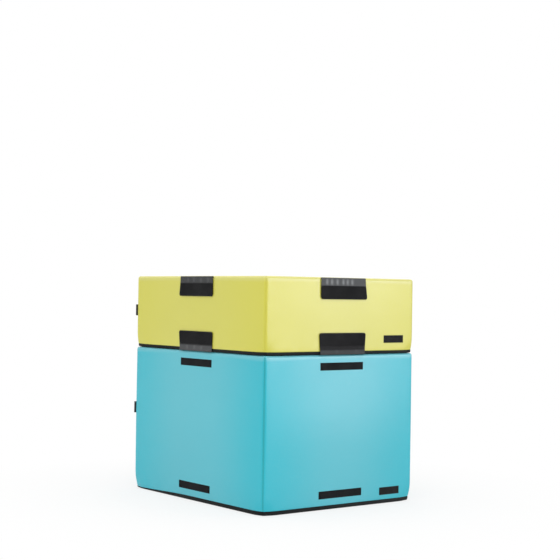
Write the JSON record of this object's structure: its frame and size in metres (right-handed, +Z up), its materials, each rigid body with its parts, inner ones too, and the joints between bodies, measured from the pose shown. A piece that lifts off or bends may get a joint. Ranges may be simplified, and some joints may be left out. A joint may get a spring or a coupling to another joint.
{
  "type": "plyo box",
  "caption": "Soft foam plyometric jump box: a low sewn module stacked on a tall one, linked by hook-and-loop flaps, with carry straps, non-slip bases and zips.",
  "frame": {"origin": "centre of the footprint, on the floor under the lower module", "axes": "+Z up; X along the long sides, with the carry straps on the -X side; Y along the short sides"},
  "size_m": [0.9455, 0.7676, 0.9],
  "materials": {
    "yellow_cover": "satin coated fabric",
    "turquoise_cover": "satin coated fabric",
    "black_base": "matte, grained non-slip",
    "foam": "closed-cell foam",
    "loop_strip": "woven loop pile",
    "hook_tape": "woven hook tape",
    "flap_fabric": "glossy coated cloth",
    "label_patch": "matte, bare",
    "webbing": "woven webbing",
    "zip_tape": "woven tape with moulded teeth",
    "zip_metal": "black lacquer"
  },
  "bodies": {
    "lower_module": {"lower_base_tray": "black_base", "lower_front_panel": "turquoise_cover", "lower_right_panel": "turquoise_cover", "lower_back_panel": "turquoise_cover", "lower_left_panel": "turquoise_cover", "lower_top_panel": "turquoise_cover", "lower_landing_pad": "foam", "lower_foam_core": "foam", "lower_top_strips": "loop_strip", "lower_bottom_strips": "loop_strip", "lower_label_patch": "label_patch", "lower_carry_strap": "webbing", "lower_zip_tape": "zip_tape"},
    "upper_module": {"upper_base_tray": "black_base", "upper_front_panel": "yellow_cover", "upper_right_panel": "yellow_cover", "upper_back_panel": "yellow_cover", "upper_left_panel": "yellow_cover", "upper_top_panel": "yellow_cover", "upper_landing_pad": "foam", "upper_foam_core": "foam", "upper_top_strips": "loop_strip", "upper_bottom_strips": "loop_strip", "upper_label_patch": "label_patch", "upper_carry_strap": "webbing", "upper_zip_tape": "zip_tape", "upper_top_flap_roots": "flap_fabric", "upper_bottom_flap_roots": "flap_fabric"},
    "lower_zip": {"lower_zip_slider": "zip_metal", "lower_zip_pull": "zip_metal"},
    "upper_zip": {"upper_zip_slider": "zip_metal", "upper_zip_pull": "zip_metal"},
    "front_top_flap": {"front_top_flap": "flap_fabric", "front_top_flap_inner_tape": "hook_tape", "front_top_flap_outer_tape": "hook_tape"},
    "right_top_flap": {"right_top_flap": "flap_fabric", "right_top_flap_inner_tape": "hook_tape", "right_top_flap_outer_tape": "hook_tape"},
    "back_top_flap": {"back_top_flap": "flap_fabric", "back_top_flap_inner_tape": "hook_tape", "back_top_flap_outer_tape": "hook_tape"},
    "left_top_flap": {"left_top_flap": "flap_fabric", "left_top_flap_inner_tape": "hook_tape", "left_top_flap_outer_tape": "hook_tape"},
    "front_bottom_flap": {"front_bottom_flap": "flap_fabric", "front_bottom_flap_inner_tape": "hook_tape", "front_bottom_flap_outer_tape": "hook_tape"},
    "right_bottom_flap": {"right_bottom_flap": "flap_fabric", "right_bottom_flap_inner_tape": "hook_tape", "right_bottom_flap_outer_tape": "hook_tape"},
    "back_bottom_flap": {"back_bottom_flap": "flap_fabric", "back_bottom_flap_inner_tape": "hook_tape", "back_bottom_flap_outer_tape": "hook_tape"},
    "left_bottom_flap": {"left_bottom_flap": "flap_fabric", "left_bottom_flap_inner_tape": "hook_tape", "left_bottom_flap_outer_tape": "hook_tape"}
  },
  "joints": [
    {"name": "upper_lift", "type": "slide", "parent": "lower_module", "child": "upper_module", "axis": [0, 0, 1], "range_m": [0, 0.3]},
    {"name": "lower_zip_slide", "type": "slide", "parent": "lower_module", "child": "lower_zip", "axis": [1, 0, 0], "range_m": [0, 0.6]},
    {"name": "upper_zip_slide", "type": "slide", "parent": "upper_module", "child": "upper_zip", "axis": [1, 0, 0], "range_m": [0, 0.6]},
    {"name": "front_top_flap_turn", "type": "hinge", "parent": "upper_module", "child": "front_top_flap", "pos_m": [0, -0.3818, 0.897], "axis": [-1, 0, 0], "range_deg": [0, 240]},
    {"name": "right_top_flap_turn", "type": "hinge", "parent": "upper_module", "child": "right_top_flap", "pos_m": [0.4573, 0, 0.897], "axis": [0, -1, 0], "range_deg": [0, 240]},
    {"name": "back_top_flap_turn", "type": "hinge", "parent": "upper_module", "child": "back_top_flap", "pos_m": [0, 0.3818, 0.897], "axis": [1, 0, 0], "range_deg": [0, 240]},
    {"name": "left_top_flap_turn", "type": "hinge", "parent": "upper_module", "child": "left_top_flap", "pos_m": [-0.4573, 0, 0.897], "axis": [0, 1, 0], "range_deg": [0, 240]},
    {"name": "front_bottom_flap_turn", "type": "hinge", "parent": "upper_module", "child": "front_bottom_flap", "pos_m": [0, -0.3818, 0.602], "axis": [1, 0, 0], "range_deg": [0, 180]},
    {"name": "right_bottom_flap_turn", "type": "hinge", "parent": "upper_module", "child": "right_bottom_flap", "pos_m": [0.4573, 0, 0.602], "axis": [0, 1, 0], "range_deg": [0, 180]},
    {"name": "back_bottom_flap_turn", "type": "hinge", "parent": "upper_module", "child": "back_bottom_flap", "pos_m": [0, 0.3818, 0.602], "axis": [-1, 0, 0], "range_deg": [0, 180]},
    {"name": "left_bottom_flap_turn", "type": "hinge", "parent": "upper_module", "child": "left_bottom_flap", "pos_m": [-0.4573, 0, 0.602], "axis": [0, -1, 0], "range_deg": [0, 180]}
  ]
}
